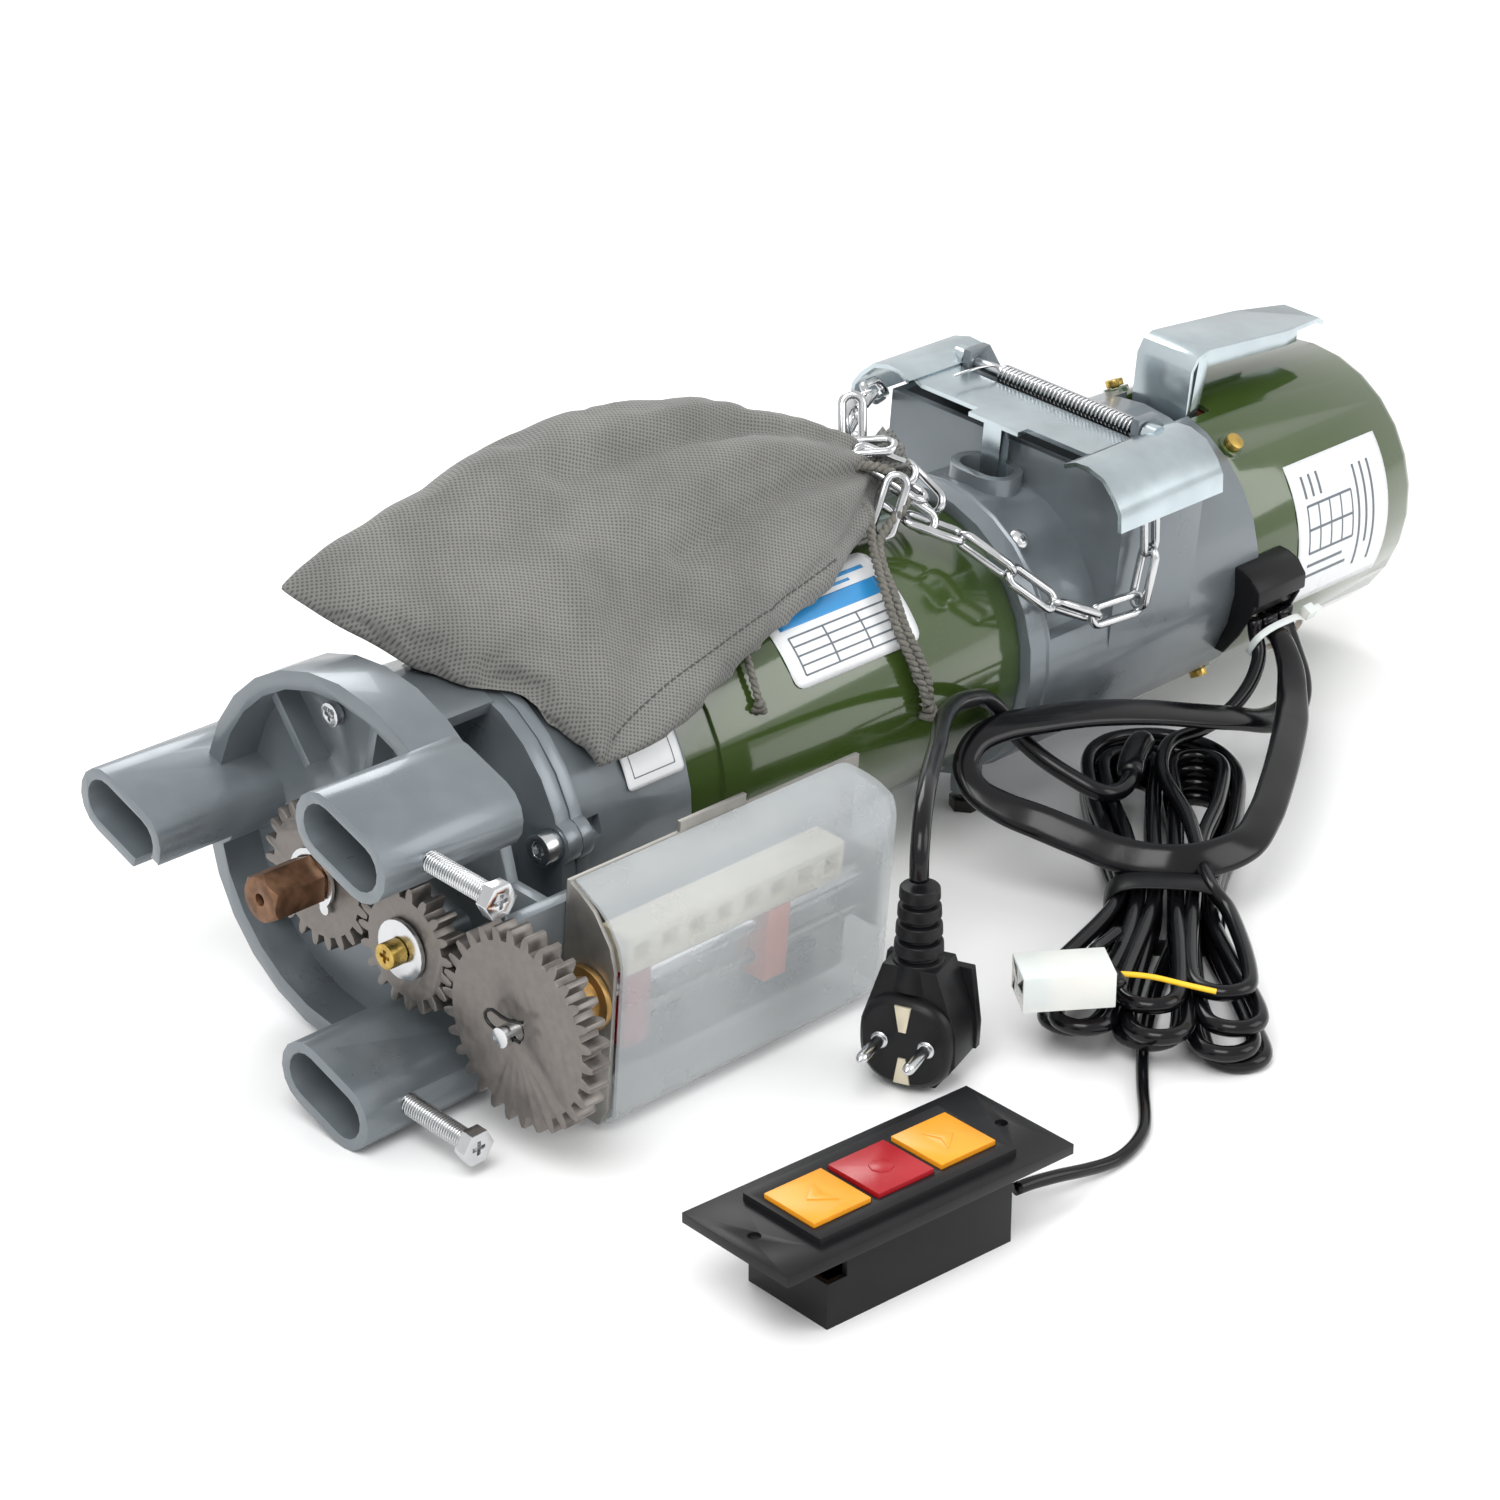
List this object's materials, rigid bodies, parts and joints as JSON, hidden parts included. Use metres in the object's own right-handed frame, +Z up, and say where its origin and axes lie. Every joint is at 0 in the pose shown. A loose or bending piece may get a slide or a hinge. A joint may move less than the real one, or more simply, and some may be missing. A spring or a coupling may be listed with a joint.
{
  "type": "garage door opener",
  "caption": "Tubular roller-door opener with front gear train, limit box, hand-chain guide, brake lever, bagged chain, mains lead and push-button station.",
  "frame": {"origin": "on the surface that it lies on, under the middle of the opener and its button station, cords left out", "axes": "+X along the motor from the gears to the brake cap, +Y away from the limit box, +Z up"},
  "size_m": [0.649, 0.3812, 0.2078],
  "materials": {
    "cast_grey": "satin paint on cast aluminium",
    "green_paint": "glossy enamel",
    "gear_steel": "sintered steel, dull",
    "shaft_steel": "oiled brown steel",
    "bright_steel": "bright plated",
    "zinc": "blue-white zinc plate",
    "yellow_zinc": "yellow passivated",
    "black_steel": "black oxide",
    "lamination": "stacked sheet",
    "copper": "enamelled winding",
    "brake_lining": "matt",
    "bronze": "sintered bronze",
    "black_plastic": "satin",
    "cable_black": "glossy PVC",
    "cream_plastic": "satin",
    "orange_plastic": "satin",
    "red_plastic": "semi-gloss",
    "yellow_plastic": "semi-gloss",
    "white_nylon": "translucent white",
    "bag_cloth": "non-woven cloth",
    "milky_plastic": "translucent"
  },
  "bodies": {
    "opener": {"front_bracket": "cast_grey", "gearbox_housing": "cast_grey", "chain_housing": "cast_grey", "idler_washer": "bright_steel", "idler_screw": "yellow_zinc", "limit_bushing": "bronze", "arm_bolt_upper": "bright_steel", "arm_bolt_lower": "bright_steel", "bracket_screw": "bright_steel", "flange_screw": "bright_steel", "limit_plate": "zinc", "terminal_block": "cream_plastic", "up_microswitch": "black_plastic", "down_microswitch": "black_plastic", "plate_screw": "bright_steel", "motor_tube": "green_paint", "stator_core": "copper", "rear_bearing": "bright_steel", "guide_pin": "bright_steel", "guide_spring": "bright_steel", "housing_bolt_near": "black_steel", "housing_bolt_far": "black_steel", "end_cap": "green_paint", "cap_screw_near": "yellow_zinc", "cap_screw_far": "yellow_zinc", "cap_screw_low": "yellow_zinc", "brake_coil": "copper", "cable_grommet": "black_plastic", "chain_bag": "bag_cloth", "chain_run_near": "bright_steel", "chain_run_far": "bright_steel", "motor_lead": "cable_black", "control_lead": "cable_black", "cable_hank": "cable_black", "mains_cable": "cable_black", "mains_plug": "black_plastic", "connector": "white_nylon", "button_cable": "cable_black", "button_box": "black_plastic", "button_plate": "black_plastic"},
    "output": {"output_shaft": "shaft_steel", "output_gear": "gear_steel", "shaft_circlip": "bright_steel"},
    "idler": {"idler_gear": "gear_steel"},
    "limit_drive": {"limit_gear": "gear_steel", "limit_screw": "bright_steel", "limit_clip": "black_steel"},
    "up_nut": {"up_limit_nut": "orange_plastic"},
    "down_nut": {"down_limit_nut": "red_plastic"},
    "counter": {"counter_gear": "gear_steel"},
    "rotor": {"motor_shaft": "bright_steel", "rotor_core": "lamination", "brake_disc": "brake_lining"},
    "hand_chain_wheel": {"chain_wheel": "gear_steel"},
    "guide": {"chain_guide": "zinc"},
    "lever": {"brake_lever": "zinc"},
    "cover": {"limit_cover": "milky_plastic"},
    "up_button": {"button_up": "yellow_plastic"},
    "stop_button": {"button_stop": "red_plastic"},
    "down_button": {"button_down": "yellow_plastic"}
  },
  "joints": [
    {"name": "rotor_spin", "type": "hinge", "parent": "opener", "child": "rotor", "pos_m": [-0.2875, 0.091, 0.07965], "axis": [1, 0, 0], "range_deg": [-4320, 4320]},
    {"name": "output_spin", "type": "hinge", "parent": "opener", "child": "output", "pos_m": [-0.2875, 0.091, 0.07965], "axis": [1, 0, 0], "range_deg": [-1081, 1081]},
    {"name": "counter_spin", "type": "hinge", "parent": "opener", "child": "counter", "pos_m": [-0.2875, 0.08839, 0.10954], "axis": [1, 0, 0], "range_deg": [-2161, 2161]},
    {"name": "idler_spin", "type": "hinge", "parent": "opener", "child": "idler", "pos_m": [-0.2875, 0.04116, 0.0676], "axis": [1, 0, 0], "range_deg": [-1252, 1252]},
    {"name": "limit_spin", "type": "hinge", "parent": "opener", "child": "limit_drive", "pos_m": [-0.2875, -0.01897, 0.05618], "axis": [1, 0, 0], "range_deg": [-793, 793]},
    {"name": "up_nut_travel", "type": "slide", "parent": "opener", "child": "up_nut", "axis": [1, 0, 0], "range_m": [-0.0089, 0.0089]},
    {"name": "down_nut_travel", "type": "slide", "parent": "opener", "child": "down_nut", "axis": [1, 0, 0], "range_m": [-0.0089, 0.0089]},
    {"name": "chain_wheel_spin", "type": "hinge", "parent": "opener", "child": "hand_chain_wheel", "pos_m": [0.1145, 0.091, 0.07965], "axis": [1, 0, 0], "continuous": true},
    {"name": "guide_hinge", "type": "hinge", "parent": "opener", "child": "guide", "pos_m": [0.1285, 0.08337, 0.16682], "axis": [0, 0.9962, 0.0872], "range_deg": [0, 8], "stiffness_Nm_per_rad": 0.8, "springref_deg": -20.05},
    {"name": "brake_lever_pull", "type": "hinge", "parent": "opener", "child": "lever", "pos_m": [0.2047, 0.0869, 0.12647], "axis": [0, 0.9962, 0.0872], "range_deg": [0, 5], "stiffness_Nm_per_rad": 6, "springref_deg": -5.73},
    {"name": "cover_pull", "type": "slide", "parent": "opener", "child": "cover", "axis": [0, -0.9962, -0.0872], "range_m": [0, 0.018]},
    {"name": "up_press", "type": "slide", "parent": "opener", "child": "up_button", "axis": [0, 0, -1], "range_m": [0, 0.003], "stiffness_N_per_m": 300, "springref_m": -0.002},
    {"name": "stop_press", "type": "slide", "parent": "opener", "child": "stop_button", "axis": [0, 0, -1], "range_m": [0, 0.003], "stiffness_N_per_m": 300, "springref_m": -0.002},
    {"name": "down_press", "type": "slide", "parent": "opener", "child": "down_button", "axis": [0, 0, -1], "range_m": [0, 0.003], "stiffness_N_per_m": 300, "springref_m": -0.002}
  ],
  "couplings": [
    {"joint": "output_spin", "follows": "rotor_spin", "ratio": 0.25},
    {"joint": "counter_spin", "follows": "rotor_spin", "ratio": -0.5},
    {"joint": "idler_spin", "follows": "rotor_spin", "ratio": -0.28947},
    {"joint": "limit_spin", "follows": "rotor_spin", "ratio": 0.18333},
    {"joint": "up_nut_travel", "follows": "rotor_spin", "m_per_rad": -0.00011671},
    {"joint": "down_nut_travel", "follows": "rotor_spin", "m_per_rad": -0.00011671}
  ]
}
